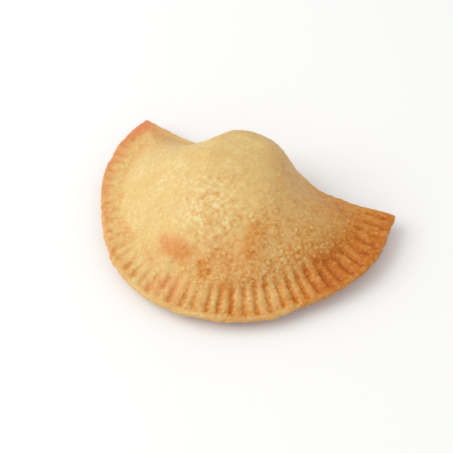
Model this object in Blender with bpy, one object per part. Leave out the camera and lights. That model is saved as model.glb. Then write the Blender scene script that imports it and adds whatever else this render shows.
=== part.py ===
"""A fried pastry turnover: a sheet of dough folded over its filling, trimmed with a round
cutter, sealed round the cut edge with a fork and fried whole.

It is one closed solid, because an uncut turnover shows nothing of its inside. The fold runs
along X at the back (+Y), the fork-sealed rim faces -Y, and the underside rests on Z = 0.
Sizes are in metres. X and Y are measured from the cutter's centre while the shape is made.
"""

import math
import random

import bmesh
import bpy
from mathutils import Vector, noise

# Plan: the round cut edge and the fold, seen from above
CUTTER_RADIUS = 0.0599
FOLD_Y = 0.0170  # the line through both tips
FOLD_PINCH = 0.0050  # the fold runs in between the tips, as the filling takes up its dough
FOLD_SWELL = 0.0070  # and out again in the middle
FOLD_SWELL_WIDTH = 0.020
EDGE_SQUARENESS = 0.0006  # the cut edge is fuller at the front and sides than between them
# Where the cut runs in or out: degrees round, width in degrees, shift outwards
EDGE_SHIFTS = (
    (-184, 9, 0.0007),
    (-144, 20, -0.0022),
    (-45, 18, 0.0009),
    (-36, 9, -0.0013),
    (-5, 13, 0.0011),
)
TIP_REACH = 0.0014  # the tips are drawn out past the cut circle
TIP_REACH_LENGTH = 0.006

# Filled body: it reaches the fold at the back, and stops short of the cut edge elsewhere
BODY_RADIUS = 0.0490
CROWN = 0.0240  # the top rises this far above the sealed dough
BELLY = 0.0100  # the underside sinks this far below it, before it is flattened
BODY_FULLNESS = 2.5
RIM_FILLET = 1.25  # over 1, so that the body runs out into the rim
FOLD_DEPTH = 0.031  # the body is at its full height this far in from the fold
ROUND_FOLD = 0.008  # the fold is round this far to each side of its middle
FLAT_FOLD = 0.032  # and pinched flat from here to the tips
FLAT_FOLD_SLOPE = 1.8  # over 1, so that the body runs out into the flat fold
DROOP_DEPTH = 0.016  # the flat ends droop to the height of the cut edge

# Sealed dough: two pressed layers, whose middle surface droops from the body to the edge
SEAM_HEIGHT = 0.0098
EDGE_HEIGHT = 0.0062
EDGE_WAVE = 0.0009
EDGE_WAVES = ((0.6, 2, 0.7), (0.4, 5, 1.9))  # share of the wave, waves round, phase
DROOP_START = 0.8  # the droop starts this share of the rim's width inside the body
FOLD_RISE = 0.0055  # the middle of the fold stands higher
FOLD_RISE_LENGTH = 0.021
FOLD_RISE_DEPTH = 0.024
RIM_THICKNESS = 0.0034
EDGE_ROUND = 0.0012
EDGE_ROUND_POWER = 2.4

# Fork marks, pressed in from above, four to a press
MARKS = 44
TINES = 4
MARK_DEPTH = 0.0011
MARK_SHARE = 0.64  # a tine's width as a share of the pitch
MARK_LIP = 0.0010  # the marks stop this far short of the cut edge
MARK_RUN_IN = 0.0024  # and reach their full depth over this length
MARK_LENGTH = 0.0122
MARK_FADE = 0.0032
# The fork was pressed harder and held flatter at the front: degrees round, then the share of
# the depth and of the length
PRESSES_ROUND = (
    (-197, 0.40, 0.74),
    (-150, 0.44, 0.78),
    (-112, 0.72, 0.96),
    (-75, 1.00, 1.26),
    (-45, 1.08, 1.40),
    (-10, 0.95, 1.15),
    (17, 0.85, 0.95),
)
PRESS_DEPTHS = (0.84, 1.12)  # a whole press against the usual depth
PRESS_LENGTHS = (-0.0016, 0.0012)
TINE_DEPTHS = (0.78, 1.12)  # one tine against its press
TINE_LENGTHS = (-0.0012, 0.0008)
TINE_SHIFT = 0.08  # to either side, as a share of the pitch
MARK_SEED = 5
MARK_SPREAD = 0.0002  # pressed dough spreads outwards under each tine
RIDGE_RISE = 0.0003  # and upwards between the tines
UNDERSIDE_MARKS = 0.15  # how much of a mark shows below

# Relief of the fried skin
LUMP_SIZE = 0.017
LUMP_HEIGHT = 0.0010
DIMPLE_SIZE = 0.0065
DIMPLE_HEIGHT = 0.0004
DIMPLE_OFFSET = Vector((7, 3, 1))  # so that dimples and lumps fall in different places
BLISTERS = 60
BLISTER_RADIUS = (0.0016, 0.0036)
BLISTER_STEEPNESS = 0.15  # a blister's height over its radius
BLISTER_SEED = 11
BLISTER_MARGIN = 0.0035  # none lies closer to the outline than this
# The broad flat blister low on the front of the body: centre, half length, half width
BROAD_BLISTER = (Vector((-0.0045, -0.0408)), 0.0085, 0.0050)
BROAD_BLISTER_HEIGHT = 0.0008

# Mesh
STEPS_PER_MARK = 10
FOLD_STEPS = 96
TOP_RINGS = 56
UNDERSIDE_RINGS = 30
RING_CROWDING = 1.6  # over 1, so that the rings lie closer together towards the outline
INNERMOST_REACH = 0.030  # the rings turn rounder inwards, as if the outline lay this far out
RAY_THINNING = (0.72, 0.45, 0.22)  # inside each of these shares of its reach, half the rays stop
EVENED_FROM = 0.012  # the skin is evened out this far in from the outline
EVENINGS = 3
TRIANGLES_KEPT = 11600

PASTRY_COLOUR = (0.80, 0.56, 0.26, 1.0)
PASTRY_ROUGHNESS = 0.5


def smooth(value):
    """0 below 0, 1 above 1, and an S curve between."""
    t = min(max(value, 0.0), 1.0)
    return t * t * (3 - 2 * t)


def mix(a, b, share):
    return a + (b - a) * share


def quarter_oval(value, power=2.0):
    """Rises upright from 0 and levels out at 1, like a quarter of an oval."""
    t = min(max(value, 0.0), 1.0)
    return (1 - (1 - t) ** power) ** (1 / power)


def read_off(table, value, column):
    """What a column of the table says at this value of its first column, between its rows."""
    for before, after in zip(table, table[1:]):
        if value <= after[0]:
            share = (value - before[0]) / (after[0] - before[0])
            return mix(before[column], after[column], min(max(share, 0.0), 1.0))
    return table[-1][column]


def cleared_scene():
    for obj in list(bpy.data.objects):
        bpy.data.objects.remove(obj)


TIP_ANGLE = math.asin(FOLD_Y / CUTTER_RADIUS)
ARC = math.pi + 2 * TIP_ANGLE


def cut_radius(angle):
    """How far the cut edge is from the cutter's centre, in this direction."""
    radius = CUTTER_RADIUS + EDGE_SQUARENESS * math.cos(4 * (angle + math.pi / 2))
    for towards, width, shift in EDGE_SHIFTS:
        radius += shift * math.exp(-(((math.degrees(angle) - towards) / width) ** 2))
    past_tip = min(TIP_ANGLE - angle, ARC + angle - TIP_ANGLE)
    return radius + TIP_REACH * math.exp(-past_tip * CUTTER_RADIUS / TIP_REACH_LENGTH)


def cut_edge_point(share):
    """A point of the cut edge: share 0 is the right tip, 0.5 the front and 1 the left tip."""
    angle = TIP_ANGLE - share * ARC
    return Vector((math.cos(angle), math.sin(angle))) * cut_radius(angle)


RIGHT_TIP = cut_edge_point(0)
LEFT_TIP = cut_edge_point(1)


def fold_y(x):
    """Where the fold's outline runs at this x."""
    share = min(max((x - LEFT_TIP.x) / (RIGHT_TIP.x - LEFT_TIP.x), 0.0), 1.0)
    straight = mix(LEFT_TIP.y, RIGHT_TIP.y, share)
    pinch = FOLD_PINCH * math.sin(share * math.pi)
    return straight - pinch + FOLD_SWELL * math.exp(-((x / FOLD_SWELL_WIDTH) ** 2))


def inset(x, y):
    """The distance from the outline, exact close to it."""
    angle = math.atan2(y, x)
    if angle > math.pi / 2:
        angle -= 2 * math.pi
    return min(cut_radius(min(angle, TIP_ANGLE)) - math.hypot(x, y), fold_y(x) - y)


def flatness(x):
    """How flat the fold is pinched: 0 in its middle and 1 towards the tips."""
    return smooth((abs(x) - ROUND_FOLD) / (FLAT_FOLD - ROUND_FOLD))


def fullness(x, y):
    """How full the body is: 1 at its highest, 0 on the rim and along the fold."""
    radius = math.hypot(x, y) / BODY_RADIUS
    if radius >= 1:
        return 0.0
    to_rim = (1 - radius**BODY_FULLNESS) ** RIM_FILLET
    to_fold = quarter_oval((fold_y(x) - y) / FOLD_DEPTH)
    return to_rim * to_fold ** mix(1, 2 * FLAT_FOLD_SLOPE, flatness(x))


def middle_height(x, y):
    """The height of the surface halfway through the sealed dough."""
    angle = math.atan2(y, x)
    wave = sum(part * math.sin(count * angle + phase) for part, count, phase in EDGE_WAVES)
    edge = EDGE_HEIGHT + EDGE_WAVE * wave
    out = (math.hypot(x, y) - BODY_RADIUS) / (CUTTER_RADIUS - BODY_RADIUS)
    droop = smooth((out + DROOP_START) / (1 + DROOP_START))
    from_fold = fold_y(x) - y
    droop = max(droop, flatness(x) * smooth(1 - from_fold / DROOP_DEPTH))
    rise = FOLD_RISE * math.exp(-((x / FOLD_RISE_LENGTH) ** 2))
    return mix(SEAM_HEIGHT, edge, droop) + rise * smooth(1 - from_fold / FOLD_RISE_DEPTH)


def half_thickness(x, y):
    return RIM_THICKNESS / 2 * quarter_oval(inset(x, y) / EDGE_ROUND, EDGE_ROUND_POWER)


class Mark:
    """The mark of one tine: what varies from mark to mark."""

    def __init__(self, rng, towards, press_depth, press_length):
        """towards is its direction in degrees; its press gives a depth share and a length."""
        strength = read_off(PRESSES_ROUND, towards, 1) * press_depth
        self.depth = MARK_DEPTH * strength * rng.uniform(*TINE_DEPTHS)
        self.length = MARK_LENGTH * read_off(PRESSES_ROUND, towards, 2)
        self.length += press_length + rng.uniform(*TINE_LENGTHS)
        self.shift = rng.uniform(-TINE_SHIFT, TINE_SHIFT)

    def tine(self, phase):
        """1 under the tine, down to a little below 0 on the ridges beside it."""
        across = abs(phase - 0.5 - self.shift) / (MARK_SHARE / 2)
        if across < 1:
            return math.cos(across * math.pi / 2) ** 2
        return -RIDGE_RISE / MARK_DEPTH * math.sin(min(across - 1, 1.0) * math.pi / 2) ** 2

    def press(self, phase, from_edge):
        """How far the dough is pressed down, at this share of the pitch and depth into the rim."""
        window = smooth((from_edge - MARK_LIP) / MARK_RUN_IN)
        window *= 1 - smooth((from_edge - self.length + MARK_FADE) / MARK_FADE)
        return window * self.depth * self.tine(phase)


class Ray:
    """A ray from the cutter's centre to the outline, along which the skin is sampled."""

    def __init__(self, end, mark=None, phase=0.0):
        self.direction = end.normalized()
        self.reach = end.length
        self.mark, self.phase = mark, phase
        if mark is not None:
            self.reach += MARK_SPREAD * mark.tine(phase)

    def radius(self, share):
        return share * mix(INNERMOST_REACH, self.reach, share)

    def pressed(self, radius, behind):
        if self.mark is None:
            return 0.0
        return self.mark.press(self.phase, self.reach - radius) * smooth(behind / MARK_FADE)

    def top(self, share):
        radius = self.radius(share)
        x, y = self.direction * radius
        height = middle_height(x, y) + half_thickness(x, y) + CROWN * fullness(x, y)
        return (x, y, height - self.pressed(radius, fold_y(x) - y))

    def bottom(self, share):
        radius = self.radius(share)
        x, y = self.direction * radius
        height = middle_height(x, y) - half_thickness(x, y) - BELLY * fullness(x, y)
        pressed = self.pressed(radius, fold_y(x) - y)
        return (x, y, height - UNDERSIDE_MARKS * pressed)

    def edge(self):
        x, y = self.direction * self.reach
        return (x, y, middle_height(x, y))


def fork_marks():
    """The marks from the right tip round to the left one."""
    rng = random.Random(MARK_SEED)
    marks = []
    for k in range(MARKS):
        if k % TINES == 0:
            press_depth = rng.uniform(*PRESS_DEPTHS)
            press_length = rng.uniform(*PRESS_LENGTHS)
        towards = math.degrees(TIP_ANGLE - (k + 0.5) / MARKS * ARC)
        marks.append(Mark(rng, towards, press_depth, press_length))
    return marks


def rays():
    """Rays to the cut edge from the right tip to the left one, and then back along the fold."""
    marks = fork_marks()
    steps = MARKS * STEPS_PER_MARK
    made = []
    for k in range(steps):
        mark = marks[k // STEPS_PER_MARK]
        phase = (k % STEPS_PER_MARK) / STEPS_PER_MARK
        made.append(Ray(cut_edge_point(k / steps), mark, phase))
    for k in range(FOLD_STEPS):
        x = mix(LEFT_TIP.x, RIGHT_TIP.x, k / FOLD_STEPS)
        made.append(Ray(Vector((x, fold_y(x)))))
    return made


def bridged(bm, inner, outer):
    """Faces from a ring to the next one out, which has as many points or twice as many."""
    count = len(inner)
    if len(outer) == count:
        for k in range(count):
            after = (k + 1) % count
            bm.faces.new((inner[k], outer[k], outer[after], inner[after]))
        return
    for k in range(count):
        after = (k + 1) % count
        left, middle, right = outer[2 * k], outer[2 * k + 1], outer[2 * after]
        bm.faces.new((inner[k], left, middle))
        bm.faces.new((inner[k], middle, inner[after]))
        bm.faces.new((inner[after], middle, right))


def half_skin(bm, spokes, count, place, edge):
    """One side of the skin, from the edge in to a pole; place gives a spoke's point."""
    outer = edge
    for k in range(1, count):
        share = 1 - (k / count) ** RING_CROWDING
        stride = 2 ** sum(share < limit for limit in RAY_THINNING)
        inner = [bm.verts.new(place(spoke, share)) for spoke in spokes[::stride]]
        bridged(bm, inner, outer)
        outer = inner
    pole = bm.verts.new(sum((v.co for v in outer), Vector()) / len(outer))
    for k in range(len(outer)):
        bm.faces.new((outer[k], outer[(k + 1) % len(outer)], pole))


def skinned(spokes):
    """A closed bmesh over the rays, which are the spokes of its top and of its underside."""
    bm = bmesh.new()
    edge = [bm.verts.new(spoke.edge()) for spoke in spokes]
    half_skin(bm, spokes, TOP_RINGS, Ray.top, edge)
    half_skin(bm, spokes, UNDERSIDE_RINGS, Ray.bottom, edge)
    bmesh.ops.recalc_face_normals(bm, faces=bm.faces)
    return bm


class Blister:
    """A bubble under the skin, as a soft cap."""

    def __init__(self, centre, radius):
        self.centre, self.radius = centre, radius

    def rise(self, point):
        off = (point - self.centre).length / self.radius
        return self.radius * BLISTER_STEEPNESS * (1 - off * off) ** 1.5 if off < 1 else 0.0


def scattered_blisters(bm):
    """Blisters on points of the skin, spread by area, smaller ones more often."""
    rng = random.Random(BLISTER_SEED)
    faces = list(bm.faces)
    areas = [f.calc_area() for f in faces]
    low, high = BLISTER_RADIUS
    found = []
    for face in rng.choices(faces, weights=areas, k=BLISTERS):
        radius = mix(low, high, rng.random() ** 2)
        centre = face.calc_center_median()
        if inset(centre.x, centre.y) > BLISTER_MARGIN:
            found.append(Blister(centre, radius))
    return found


def broad_blister_rise(point):
    """The rise of the one broad blister, whose long side follows X."""
    centre, half_length, half_width = BROAD_BLISTER
    if point.z < SEAM_HEIGHT:
        return 0.0
    across = Vector(((point.x - centre.x) / half_length, (point.y - centre.y) / half_width))
    return BROAD_BLISTER_HEIGHT * (1 - smooth(across.length))


def add_relief(bm):
    """Moves the skin along its normals: lumps of filling, dimples and blisters."""
    bm.normal_update()
    blisters = scattered_blisters(bm)
    moved = []
    for vert in bm.verts:
        calm = smooth(inset(vert.co.x, vert.co.y) / LUMP_SIZE)
        lump = noise.noise(vert.co / LUMP_SIZE) * calm
        dimple = noise.noise(vert.co / DIMPLE_SIZE + DIMPLE_OFFSET)
        rise = LUMP_HEIGHT * lump + DIMPLE_HEIGHT * dimple
        rise += max(b.rise(vert.co) for b in blisters) + broad_blister_rise(vert.co)
        moved.append(vert.co + vert.normal * rise)
    for vert, place in zip(bm.verts, moved):
        vert.co = place


def even_out(bm):
    """Evens the skin inside the rim, where the facets between two rays are skewed."""
    inner = [v for v in bm.verts if inset(v.co.x, v.co.y) > EVENED_FROM]
    for _ in range(EVENINGS):
        bmesh.ops.smooth_vert(
            bm, verts=inner, factor=0.5, use_axis_x=True, use_axis_y=True, use_axis_z=True
        )


def flatten_underside(mesh):
    """Cuts the belly at Z = 0, where the turnover rests, and closes it with one flat face."""
    bm = bmesh.new()
    bm.from_mesh(mesh)
    cut = bmesh.ops.bisect_plane(
        bm,
        geom=bm.verts[:] + bm.edges[:] + bm.faces[:],
        dist=1e-6,
        plane_co=(0, 0, 0),
        plane_no=(0, 0, -1),
        clear_outer=True,
    )
    border = [e for e in cut["geom_cut"] if isinstance(e, bmesh.types.BMEdge)]
    for edge in border:
        for vert in edge.verts:
            vert.co.z = 0.0
    bmesh.ops.contextual_create(bm, geom=border)
    bmesh.ops.recalc_face_normals(bm, faces=bm.faces)
    bm.to_mesh(mesh)
    bm.free()


def centre_on_origin(mesh):
    """Puts the middle of the box round the mesh over the origin."""
    xs = [v.co.x for v in mesh.vertices]
    ys = [v.co.y for v in mesh.vertices]
    middle = Vector(((min(xs) + max(xs)) / 2, (min(ys) + max(ys)) / 2, 0))
    for vert in mesh.vertices:
        vert.co -= middle


def thinned(obj, triangles):
    """Collapses the mesh to about this many triangles, most of which stay in the relief."""
    now = sum(len(p.vertices) - 2 for p in obj.data.polygons)
    modifier = obj.modifiers.new("thin", "DECIMATE")
    modifier.ratio = triangles / now
    bpy.context.view_layer.objects.active = obj
    bpy.ops.object.modifier_apply(modifier=modifier.name)


def pastry_material():
    material = bpy.data.materials.new("fried_dough")
    material.use_nodes = True
    shader = material.node_tree.nodes["Principled BSDF"]
    shader.inputs["Base Color"].default_value = PASTRY_COLOUR
    shader.inputs["Roughness"].default_value = PASTRY_ROUGHNESS
    shader.inputs["Metallic"].default_value = 0.0
    return material


def make_turnover():
    mesh = bpy.data.meshes.new("turnover")
    obj = bpy.data.objects.new("turnover", mesh)
    bpy.context.scene.collection.objects.link(obj)
    bm = skinned(rays())
    add_relief(bm)
    even_out(bm)
    bm.to_mesh(mesh)
    bm.free()
    thinned(obj, TRIANGLES_KEPT)
    flatten_underside(mesh)
    centre_on_origin(mesh)
    mesh.shade_smooth()
    mesh.materials.append(pastry_material())
    return obj


cleared_scene()
make_turnover()
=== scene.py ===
import math
import random

import bpy
import numpy as np
from mathutils import Matrix, Vector, noise
from mathutils.kdtree import KDTree


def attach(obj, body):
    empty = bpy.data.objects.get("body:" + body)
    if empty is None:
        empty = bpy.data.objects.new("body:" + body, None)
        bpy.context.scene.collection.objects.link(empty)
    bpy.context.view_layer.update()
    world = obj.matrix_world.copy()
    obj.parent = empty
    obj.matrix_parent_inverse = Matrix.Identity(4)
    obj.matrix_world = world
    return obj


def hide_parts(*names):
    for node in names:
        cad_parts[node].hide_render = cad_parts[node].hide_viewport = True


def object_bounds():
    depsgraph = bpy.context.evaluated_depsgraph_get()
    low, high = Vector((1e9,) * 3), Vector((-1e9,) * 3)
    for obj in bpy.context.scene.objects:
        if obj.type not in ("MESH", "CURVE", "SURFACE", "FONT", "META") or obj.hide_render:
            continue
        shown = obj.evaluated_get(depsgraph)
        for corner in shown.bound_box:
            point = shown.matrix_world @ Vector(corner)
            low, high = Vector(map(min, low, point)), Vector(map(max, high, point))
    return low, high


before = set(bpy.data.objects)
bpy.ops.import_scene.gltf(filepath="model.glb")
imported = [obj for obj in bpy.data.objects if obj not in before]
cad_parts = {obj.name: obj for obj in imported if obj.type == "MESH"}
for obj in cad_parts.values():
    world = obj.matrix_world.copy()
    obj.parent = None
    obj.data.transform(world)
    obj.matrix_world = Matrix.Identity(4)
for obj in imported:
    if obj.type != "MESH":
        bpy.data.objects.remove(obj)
cad_low, cad_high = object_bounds()
bpy.ops.object.select_all(action="DESELECT")

# ---- The view ----
# The turnover lies on a pale table with its fork-sealed rim to the front. It is seen from the
# right and well above, at arm's length.

camera_place = Vector((0.1479, -0.1891, 0.3062))
camera_aim = Vector((0.0023, 0.0039, 0.0060))
camera_roll = math.radians(-7.4)
lens_millimetres = 77.7
bpy.ops.object.camera_add(location=camera_place)
camera = bpy.context.object
camera.name = "camera"
aimed = (camera_aim - camera_place).to_track_quat("-Z", "Y").to_matrix()
camera.rotation_euler = (aimed @ Matrix.Rotation(camera_roll, 3, "Z")).to_euler()
camera.data.lens = lens_millimetres
bpy.context.scene.camera = camera

# ---- The crust: its shape ----
# A rolled sheet of soft wheat dough, folded over the filling, cut round, sealed with a fork and
# deep-fried whole. The frying raises small blisters in patches of its skin and all along the
# pressed rim, which it also leaves rough.

one_point = 0.000001  # corners of the solid's triangles nearer than this are one point
skin_cell = 0.00052  # fine enough for a blister 1.5 mm across
skin_eases = 5  # takes the steps out of the new mesh, and leaves the fork marks
thick_skin_eases = 68  # takes the fork marks out too

bpy.ops.object.select_all(action="DESELECT")
crust = bpy.data.objects.new("fried_crust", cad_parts["turnover"].data.copy())
bpy.context.scene.collection.objects.link(crust)
bpy.context.view_layer.objects.active = crust
crust.select_set(True)
bpy.ops.object.mode_set(mode="EDIT")
bpy.ops.mesh.select_all(action="SELECT")
bpy.ops.mesh.remove_doubles(threshold=one_point)
bpy.ops.object.mode_set(mode="OBJECT")

skin = crust.modifiers.new("skin", "REMESH")
skin.mode = "VOXEL"
skin.voxel_size = skin_cell
bpy.ops.object.modifier_apply(modifier=skin.name)


def ease(obj, times):
    """Smooths the mesh of an object, which is the active one."""
    smooth = obj.modifiers.new("ease", "SMOOTH")
    smooth.factor = 0.5
    smooth.iterations = times
    bpy.ops.object.modifier_apply(modifier=smooth.name)


def points_of(mesh):
    """The places and the normals of a mesh's points, as two arrays."""
    places = np.empty(len(mesh.vertices) * 3)
    mesh.vertices.foreach_get("co", places)
    normals = np.empty(len(mesh.vertices) * 3)
    mesh.vertex_normals.foreach_get("vector", normals)
    return places.reshape(-1, 3), normals.reshape(-1, 3)


def s_curve(value, start, end):
    """0 up to start, 1 from end on, and an S curve between; start may be the larger."""
    t = np.clip((value - start) / (end - start), 0.0, 1.0)
    return t * t * (3 - 2 * t)


def wander(places, size, seed):
    """Smooth noise from about -1 to 1 at each place; each seed reads another part of it."""
    offset = Vector((seed * 3.1, seed * 1.7, seed * 2.3))
    return np.array([noise.noise(Vector(p) / size + offset) for p in places])


ease(crust, skin_eases)
places, normals = points_of(crust.data)

# The cut edge is a circle about the cutter's centre, a little out of true. Every point of the
# crust is placed by its direction from that centre and by how far in it lies from the edge.
cutter = Vector((-0.0001, 0.0206))
across, back = places[:, 0] - cutter.x, places[:, 1] - cutter.y
towards = np.degrees(np.arctan2(back, across))
towards = np.where(towards > 90, towards - 360, towards)  # -270 to 90, with the front at -90
reach = np.hypot(across, back)
heading_step = 1.5
headings = np.arange(-195, 16, heading_step)  # from the left tip round the front to the right
rim_reach = [reach[np.abs(towards - heading) < heading_step].max() for heading in headings]
from_cut = np.interp(towards, headings, rim_reach) - reach
faces_up = s_curve(normals[:, 2], -0.25, 0.25)

# A thicker skin would be smoother: what stands above its surface is a ridge or a lump, and
# what lies below it is a fork mark or a dimple.
soft = crust.copy()
soft.data = crust.data.copy()
bpy.context.scene.collection.objects.link(soft)
bpy.context.view_layer.objects.active = soft
ease(soft, thick_skin_eases)
soft_places, _ = points_of(soft.data)
bpy.data.objects.remove(soft)
bpy.context.view_layer.objects.active = crust
stands_out = ((places - soft_places) * normals).sum(1)

# The whole rim stands out or lies low by how far in it is, so that share is taken off, band by
# band. Then the fork marks are below 0 and the ridges between them are above it.
band_width = 0.0005
bands = 40
band = np.clip((from_cut / band_width).astype(int), 0, bands - 1)
on_top = (normals[:, 2] > 0.2) & (towards < 10) & (towards > -190)  # from tip to tip
band_mean = [stands_out[on_top & (band == k)].mean() for k in range(bands)]
marked = stands_out - np.array(band_mean)[band]


class Blisters:
    """Small round caps at random places of the skin, and the browner ring at the foot of each."""

    ring_middle, ring_width, ring_end = 1.15, 0.25, 1.6  # in radii of the blister
    lowest, highest = 0.6, 1.1  # in shares of the height that its steepness gives

    def __init__(self, count, radii, steepness, seed, share):
        """Steepness is height over radius, and share how likely each point is to carry one."""
        draw = random.Random(seed)
        small, large = radii
        self.height = np.zeros(len(places))
        self.cap = np.zeros(len(places))  # 1 in the middle of a cap, and below 0 in a ring
        for index in draw.choices(range(len(places)), weights=share, k=count):
            radius = small + (large - small) * draw.random() ** 2
            height = radius * steepness * draw.uniform(self.lowest, self.highest)
            self.raise_one(index, radius, height)

    def raise_one(self, index, radius, height):
        """Adds a blister. Where a cap and a ring meet, the later of the two shows."""
        for _, near, distance in nearest.find_range(strayed[index], radius * self.ring_end):
            off = distance / radius
            cap = max(0.0, 1 - off * off)
            if cap:
                self.height[near] = max(self.height[near], height * cap)
                self.cap[near] = max(self.cap[near], cap)
            else:
                ring = math.exp(-(((off - self.ring_middle) / self.ring_width) ** 2))
                self.cap[near] = min(self.cap[near], -ring)


# Distances are taken between points moved a little at random, so that no blister is quite round.
stray = 0.00042
stray_size = 0.0010
stray_seeds = (51, 52, 53)
strayed = places + stray * np.stack([wander(places, stray_size, seed) for seed in stray_seeds], 1)
nearest = KDTree(len(places))
for index, point in enumerate(strayed):
    nearest.insert(point, index)
nearest.balance()

# Blisters crowd in patches about 11 mm wide, and on the pressed dough inside the cut.
patches = s_curve(wander(places, 0.011, 4), -0.15, 0.35)
pressed = s_curve(from_cut, 0.020, 0.012)
fine = Blisters(
    count=4700,
    radii=(0.00048, 0.0010),
    steepness=0.27,
    seed=21,
    share=0.15 + 1.5 * patches + 1.1 * pressed,
)
broad = Blisters(count=180, radii=(0.0014, 0.0028), steepness=0.13, seed=22, share=0.2 + patches)

# The grain of the dough, and what is rough about the pressed rim: width, height, seed
skin_grain = ((0.0016, 0.00006, 9), (0.0042, 0.00012, 10))
rim_grain = ((0.0024, 0.00022, 11), (0.0012, 0.00010, 12))
grain = sum(wander(places, width, seed) * height for width, height, seed in skin_grain)
grain += sum(wander(places, width, seed) * height for width, height, seed in rim_grain) * pressed

off_table = s_curve(places[:, 2], 0.0002, 0.0018)  # the flat resting patch stays flat
rise = (fine.height + broad.height + grain) * off_table
raised = places + normals * rise[:, None]
for axis in range(3):
    raised[:, axis] = np.clip(raised[:, axis], cad_low[axis], cad_high[axis])
crust.data.vertices.foreach_set("co", raised.ravel())
crust.data.update()
crust.data.shade_smooth()
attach(crust, "root")
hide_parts("turnover")

# ---- The crust: its browning ----
# Fried dough goes from cream through straw and amber to brown. It is palest on the crown, which
# floats out of the oil, and deepest on the thin sealed rim, in the fork marks and towards the
# right tip. Part of the brown on the right and at the back is painted shade, and the paler front
# lip is painted light.


def round_the_rim(*rows):
    """What rows of a heading and an amount say at each point of the crust, between the rows."""
    row_headings, amounts = zip(*rows)
    return np.interp(towards, row_headings, amounts)


def patch(middle, half_length, half_width):
    """1 in the middle of an oval patch of the top, seen from above, and 0 outside it."""
    along_x = (places[:, 0] - middle[0]) / half_length
    along_y = (places[:, 1] - middle[1]) / half_width
    return s_curve(np.hypot(along_x, along_y) + patch_unevenness, 1.15, 0.25) * faces_up


patch_unevenness = 0.25 * wander(places, 0.004, 31)  # so that no patch ends in a clean oval

# Parts of the rim
rim = s_curve(from_cut, 0.0085, 0.0015)
sealed = s_curve(from_cut, 0.0160, 0.0110)
groove = s_curve(marked, 0.00010, -0.00012) * sealed * faces_up
ridge = s_curve(marked, -0.00002, 0.00020) * sealed * faces_up
# Paler at the front lip: painted light against the shade on its down-facing edge.
front_lip_painted_light = s_curve(from_cut, 0.0024, 0.0004) * s_curve(towards, -100, -75)
upper_left = s_curve(towards, -140, -185)
lower_left = s_curve(towards, -110, -140) * (1 - upper_left)
left_blotches = s_curve(wander(places, 0.0045, 41), 0.00, 0.45)
left_blotches *= sealed * s_curve(towards, -70, -100) * faces_up
front_blotches = patch((-0.0072, -0.0355), 0.0050, 0.0030)
front_blotches += patch((0.0026, -0.0362), 0.0038, 0.0028)
front_blotches += 0.9 * patch((-0.0015, -0.0315), 0.0070, 0.0036)
left_tip_place = places[np.argmin(across - back)]
left_tip = np.exp(-((places - left_tip_place) ** 2).sum(1) / 0.008**2)

# Parts of the body
right_tip_place = places[np.argmax(across + back)]
from_right_tip = np.sqrt(((places - right_tip_place) ** 2).sum(1))
# Browner towards the right tip: partly browning, partly a painted shadow.
right_end_brown_and_shade = s_curve(from_right_tip, 0.040, 0.012) * (1 - 0.8 * sealed)
# Browner on the right flank, away from the window light: partly browning, partly painted shade.
right_flank_brown_and_shade = (1 - sealed) * s_curve(places[:, 0] - places[:, 1], 0.005, 0.055)
# Browner on the right shoulder, which lies in shade: partly browning, partly painted shade.
right_shoulder_brown_and_shade = (1 - sealed) * s_curve(places[:, 0], 0.002, 0.030)
right_shoulder_brown_and_shade *= s_curve(places[:, 1], -0.012, 0.006)
below_crown = patch((0.0135, -0.0160), 0.0110, 0.0080)
broad_blister = patch((-0.0038, -0.0208), 0.0100, 0.0048)
fold_lumps = s_curve(stands_out, 0.0002, 0.0007) * s_curve(back, 0.004, 0.014) * (1 - rim)
fold_at_left_tip = patch((-0.0490, 0.0315), 0.0140, 0.0040)
# Browner where the crust faces the back, away from the light: partly browning, partly painted
# shade.
faces_back_shade = s_curve(normals[:, 1], 0.10, 0.60)

# Places that are browner or paler than the rest: middle, half length, half width, how much
small_patches = (
    ((0.0090, -0.0230), 0.0040, 0.0032, 0.22),  # a spot just inside the front of the seal
    ((0.0225, -0.0085), 0.0060, 0.0080, 0.22),  # the right of the crown's front: brown crust and painted shadow
    ((0.0206, -0.0245), 0.0045, 0.0045, 0.12),  # the inner ends of the front marks
    ((0.0500, 0.0000), 0.0100, 0.0100, 0.10),  # the foot of the body at the right: brown crust and painted shadow
    ((-0.0470, 0.0230), 0.0120, 0.0130, 0.07),  # the thin dough beside the left tip
    ((-0.0165, -0.0015), 0.0095, 0.0110, -0.07),  # the left of the crown
    ((-0.0205, -0.0225), 0.0080, 0.0070, -0.05),  # low on the left of the body
)

plain_crust = 0.19
browning = plain_crust + rim * round_the_rim((-125, 0.17), (-100, 0.00), (-80, 0.04), (-60, 0.12))
browning += sealed * round_the_rim(
    (-125, 0.00), (-95, 0.07), (-65, 0.24), (-45, 0.18), (-25, 0.40), (5, 0.50), (16, 0.38)
)
browning += groove * round_the_rim((-95, 0.09), (-65, 0.13), (-40, 0.16))
browning -= ridge * round_the_rim((-125, 0.02), (-95, 0.03), (-65, 0.08), (-40, 0.08), (5, 0.06))
# The front lip's share here is painted light.
browning += 0.13 * left_blotches + 0.10 * front_blotches - 0.20 * front_lip_painted_light + 0.10 * left_tip
# The right end, flank and shoulder are partly browning and partly painted shade.
browning += 0.24 * right_end_brown_and_shade + 0.24 * right_flank_brown_and_shade + 0.14 * right_shoulder_brown_and_shade
browning += 0.07 * below_crown + 0.30 * broad_blister
# The share for faces turned back is partly painted shade.
browning += 0.08 * fold_lumps + 0.08 * faces_back_shade + 0.10 * (1 - faces_up)
for middle, half_length, half_width, amount in small_patches:
    browning += amount * patch(middle, half_length, half_width)

# Past this brown the crust darkens more slowly, and nowhere burns.
deep_brown = 0.66
slower = 0.45
browning = np.where(browning > deep_brown, deep_brown + slower * (browning - deep_brown), browning)

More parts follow.
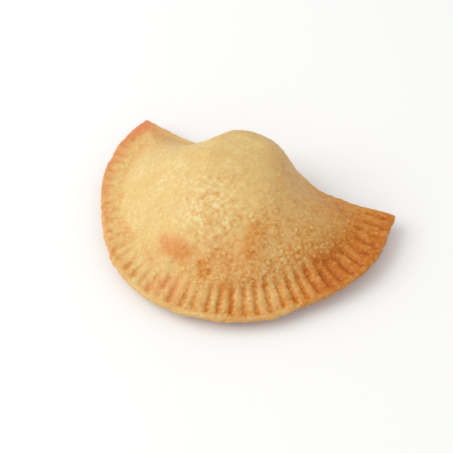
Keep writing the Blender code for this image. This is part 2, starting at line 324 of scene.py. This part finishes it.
# Thin, dry dough takes a pinker orange than the rest: at the left tip, along the rim and the
# fold beside it, and on the largest blisters.
blush = 0.70 * left_tip + 0.60 * rim * upper_left + 0.20 * rim * lower_left
blush += 0.30 * broad_blister + 0.40 * front_blotches + 0.14 * below_crown
blush += 0.50 * fold_lumps + 0.30 * fold_at_left_tip

# The front of the crown and the right flank are the most finely speckled.
speckle = 0.40 + 1.1 * patch((0.0040, -0.0060), 0.0160, 0.0130) + 0.5 * right_flank_brown_and_shade
bubble = np.clip(fine.cap + 0.5 * broad.cap, -1, 1) * (1 + right_flank_brown_and_shade)

# The material reads one number at each point of the crust for each of these names.
fields = {
    "browning": browning,
    "blush": np.clip(blush, 0, 1),
    "speckle": speckle,
    "bubble": bubble,
}
for name, values in fields.items():
    field = crust.data.attributes.new(name, "FLOAT", "POINT")
    field.data.foreach_set("value", values.astype(np.float32))


def linear(hex_colour):
    """A hex colour, as it is seen on a screen, as the linear colour that a shader takes."""
    channels = [int(hex_colour[k : k + 2], 16) / 255 for k in (1, 3, 5)]
    return [c / 12.92 if c <= 0.04045 else ((c + 0.055) / 1.055) ** 2.4 for c in channels] + [1.0]


def add_node(tree, kind, inputs=None, **settings):
    """Adds a node; inputs set or feed its sockets, by name or number, and settings are its own."""
    node = tree.nodes.new(kind)
    for name, value in settings.items():
        setattr(node, name, value)
    for socket_name, value in (inputs or {}).items():
        socket = node.inputs[socket_name]
        if isinstance(value, bpy.types.NodeSocket):
            tree.links.new(value, socket)
        else:
            socket.default_value = value
    return node


# Deep-fried wheat dough, with a thin film of oil: a matt crumb under a soft, broken gloss.
fried_dough = bpy.data.materials.new("deep_fried_wheat_dough")
fried_dough.use_nodes = True
tree = fried_dough.node_tree
tree.nodes.clear()
spot = add_node(tree, "ShaderNodeTexCoord").outputs["Object"]
read = {}
for name in fields:
    read[name] = add_node(tree, "ShaderNodeAttribute", attribute_name=name).outputs["Fac"]
per_millimetre = 500  # a noise node at this scale has features about 1 mm wide

# Uneven browning, from broad clouds to a fine speckle: width in millimetres, detail, how much
clouds = ((16, 2.0, 0.20), (5, 3.0, 0.22), (2.2, 2.0, 0.24), (0.85, 3.0, read["speckle"]))
tone = read["browning"]
for width, detail, amount in clouds:
    cloud_sizes = {"Scale": per_millimetre / width, "Detail": detail, "Roughness": 0.55}
    cloud = add_node(tree, "ShaderNodeTexNoise", {"Vector": spot, **cloud_sizes}).outputs["Fac"]
    off = add_node(tree, "ShaderNodeMath", {0: cloud, 1: 0.5}, operation="SUBTRACT").outputs[0]
    terms = {0: off, 1: amount, 2: tone}
    tone = add_node(tree, "ShaderNodeMath", terms, operation="MULTIPLY_ADD").outputs[0]
# A blister's cap is paler than the ring round it.
terms = {0: read["bubble"], 1: -0.10, 2: tone}
tone = add_node(tree, "ShaderNodeMath", terms, operation="MULTIPLY_ADD").outputs[0]

ramp = add_node(tree, "ShaderNodeValToRGB", {"Fac": tone})
stops = (
    (0.00, "#e9d297"),  # cream
    (0.18, "#dfbe79"),
    (0.36, "#dcad69"),  # straw
    (0.54, "#d39446"),
    (0.72, "#c8751a"),  # amber
    (0.88, "#b45e18"),
    (1.00, "#984910"),  # brown
)
steps = ramp.color_ramp.elements
while len(steps) < len(stops):
    steps.new(0.5)
for step, (position, colour) in zip(steps, stops):
    step.position = position
    step.color = linear(colour)
pink_orange = linear("#e08d5a")
mixed = {0: read["blush"], 6: ramp.outputs["Color"], 7: pink_orange}
dough_colour = add_node(tree, "ShaderNodeMix", mixed, data_type="RGBA").outputs[2]

# The oil lies unevenly, in spots about 3 mm wide.
oil_sizes = {"Scale": per_millimetre / 3.0, "Detail": 3.0, "Roughness": 0.55}
oil = add_node(tree, "ShaderNodeTexNoise", {"Vector": spot, **oil_sizes}).outputs["Fac"]
gloss = add_node(tree, "ShaderNodeMapRange", {"Value": oil, "To Min": 0.40, "To Max": 0.66})

# The crumb of the skin is grains of about half a millimetre.
crumb_sizes = {"Scale": per_millimetre / 0.5, "Detail": 3.0, "Roughness": 0.6}
crumb = add_node(tree, "ShaderNodeTexNoise", {"Vector": spot, **crumb_sizes}).outputs["Fac"]
crumb_height = 0.00012
bump = add_node(
    tree, "ShaderNodeBump", {"Strength": 0.5, "Distance": crumb_height, "Height": crumb}
)

# Light goes a little way into the dough, red the furthest.
shader_inputs = {
    "Base Color": dough_colour,
    "Roughness": gloss.outputs["Result"],
    "Normal": bump.outputs["Normal"],
    "IOR": 1.45,
    "Specular IOR Level": 0.4,
    "Subsurface Weight": 0.12,
    "Subsurface Scale": 0.0015,
    "Subsurface Radius": (1.0, 0.6, 0.3),
}
shader = add_node(tree, "ShaderNodeBsdfPrincipled", shader_inputs)
add_node(tree, "ShaderNodeOutputMaterial", {"Surface": shader.outputs["BSDF"]})
crust.data.materials.clear()
crust.data.materials.append(fried_dough)

# ---- The table and the light ----
# A plain white table top, and a large soft window light from the left behind the camera, with
# a weak reflector at the right.

table_side = 4.0
bpy.ops.object.select_all(action="DESELECT")
bpy.ops.mesh.primitive_plane_add(size=table_side, location=(0, 0, cad_low.z))
table = bpy.context.object
table.name = "table"
# White painted board: matt, with no pattern that would show at this size.
white_board = bpy.data.materials.new("matt_white_board")
white_board.use_nodes = True
board = white_board.node_tree.nodes["Principled BSDF"]
board.inputs["Base Color"].default_value = linear("#fafaf9")
board.inputs["Roughness"].default_value = 0.9
board.inputs["Specular IOR Level"].default_value = 0.2
table.data.materials.append(white_board)


def add_light(name, place, side, watts):
    """A square soft light, turned to the turnover."""
    bpy.ops.object.light_add(type="AREA", location=place)
    lamp = bpy.context.object
    lamp.name = name
    lamp.data.size = side
    lamp.data.energy = watts
    lamp.rotation_euler = (-Vector(place)).to_track_quat("-Z", "Y").to_euler()


add_light("window", (-0.80, -0.42, 0.95), side=1.1, watts=9.7)
add_light("reflector", (0.6, -0.9, 0.7), side=0.9, watts=1.0)
world = bpy.data.worlds.new("studio")
world.use_nodes = True
room_light = world.node_tree.nodes["Background"]
room_light.inputs["Color"].default_value = (1, 1, 1, 1)
room_light.inputs["Strength"].default_value = 0.68
bpy.context.scene.world = world
bpy.context.scene.view_settings.view_transform = "Standard"
